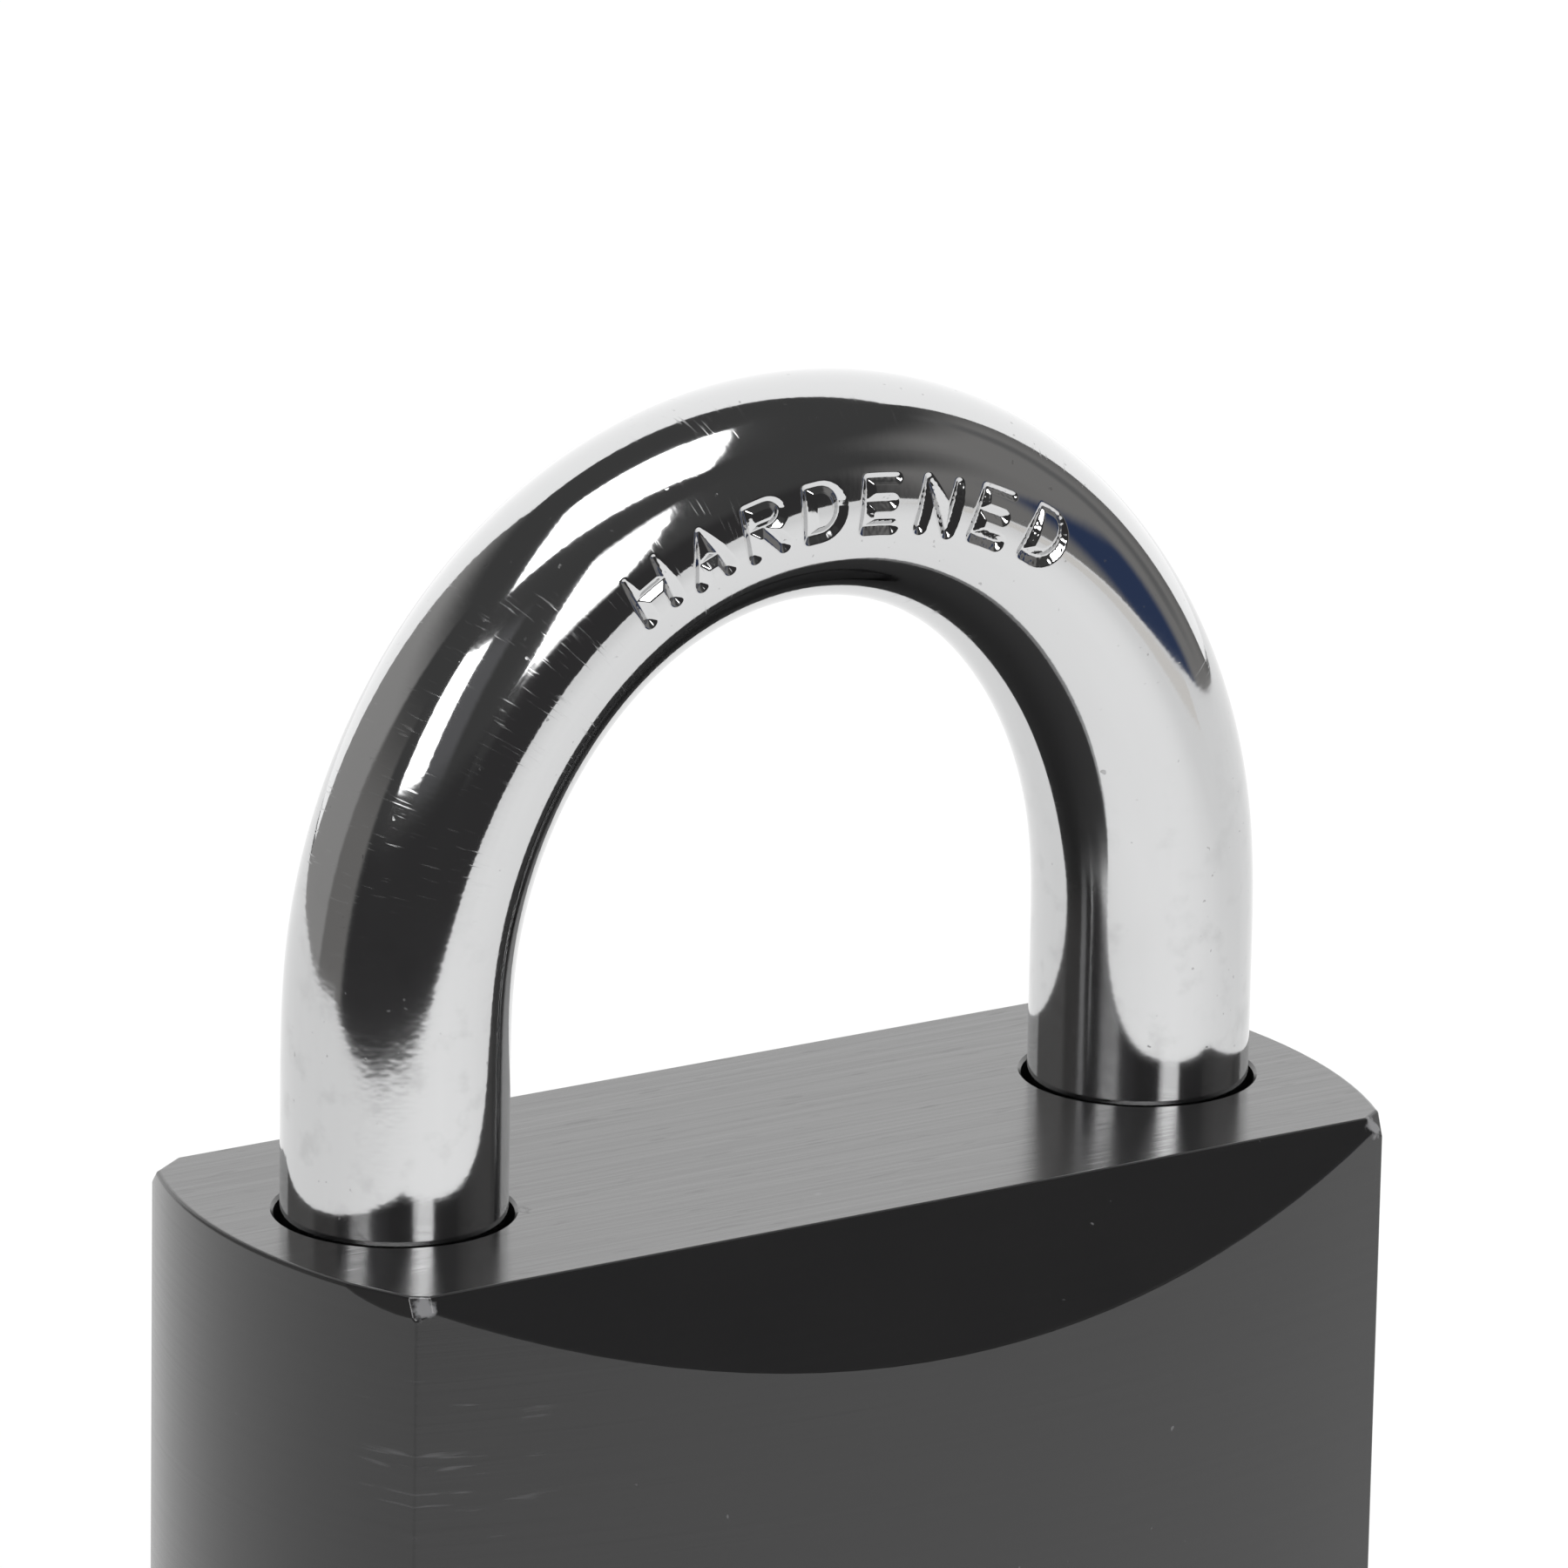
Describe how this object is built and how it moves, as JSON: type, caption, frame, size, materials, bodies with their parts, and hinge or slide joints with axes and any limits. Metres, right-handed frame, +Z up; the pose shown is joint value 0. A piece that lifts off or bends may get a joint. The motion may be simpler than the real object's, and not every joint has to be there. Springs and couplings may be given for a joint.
{
  "type": "disc-detainer padlock",
  "caption": "Heavy keyed padlock: satin black bowed block body with bevelled top and bottom edges, thick chromed round shackle and key slot in the underside.",
  "frame": {"origin": "centre of the body's underside, which is the bottom centre of the whole lock", "axes": "+Z up along the shackle's legs, +X along the body's width towards the heel leg, -Y is the front"},
  "size_m": [0.0612, 0.0324, 0.0946],
  "materials": {
    "black_satin": "satin black over fine straight brushing",
    "shackle_chrome": "bright chrome plate on hardened steel",
    "hard_steel": "ground hardened steel",
    "ball_steel": "polished bearing steel",
    "pin_steel": "ground, dark hardened steel",
    "spring_steel": "drawn spring steel",
    "spacer_steel": "rolled sheet steel",
    "case_brass": "turned brass",
    "disc_brass": "stamped brass"
  },
  "bodies": {
    "body": {"lock_body": "black_satin", "cylinder_case": "case_brass", "drill_plate": "hard_steel", "snap_ring": "spring_steel", "cylinder_pin": "pin_steel", "heel_pin": "pin_steel", "shackle_spring": "spring_steel"},
    "shackle": {"shackle": "shackle_chrome"},
    "core": {"guard_disc": "hard_steel", "disc_carrier": "case_brass", "disc_1": "disc_brass", "disc_2": "disc_brass", "disc_3": "disc_brass", "disc_4": "disc_brass", "disc_5": "disc_brass", "disc_6": "disc_brass", "disc_7": "disc_brass", "disc_8": "disc_brass", "disc_9": "disc_brass", "spacer_1": "spacer_steel", "spacer_2": "spacer_steel", "spacer_3": "spacer_steel", "spacer_4": "spacer_steel", "spacer_5": "spacer_steel", "spacer_6": "spacer_steel", "spacer_7": "spacer_steel", "spacer_8": "spacer_steel", "spacer_9": "spacer_steel", "driver_disc": "disc_brass", "side_bar": "hard_steel", "locking_cam": "hard_steel"},
    "ball_heel": {"ball_heel": "ball_steel"},
    "ball_toe": {"ball_toe": "ball_steel"}
  },
  "joints": [
    {"name": "shackle_lift", "type": "slide", "parent": "body", "child": "shackle", "axis": [0, 0, 1], "range_m": [0, 0.017], "deforming": ["shackle_spring"]},
    {"name": "core_turn", "type": "hinge", "parent": "body", "child": "core", "pos_m": [0, 0, 0], "axis": [0, 0, 1], "range_deg": [-90, 0]},
    {"name": "ball_heel_slide", "type": "slide", "parent": "body", "child": "ball_heel", "axis": [1, 0, 0], "range_m": [0, 0.00205]},
    {"name": "ball_toe_slide", "type": "slide", "parent": "body", "child": "ball_toe", "axis": [-1, 0, 0], "range_m": [0, 0.00205]}
  ],
  "couplings": [
    {"joint": "ball_heel_slide", "follows": "core_turn", "m_per_rad": -0.001305},
    {"joint": "ball_toe_slide", "follows": "core_turn", "m_per_rad": -0.001305}
  ]
}
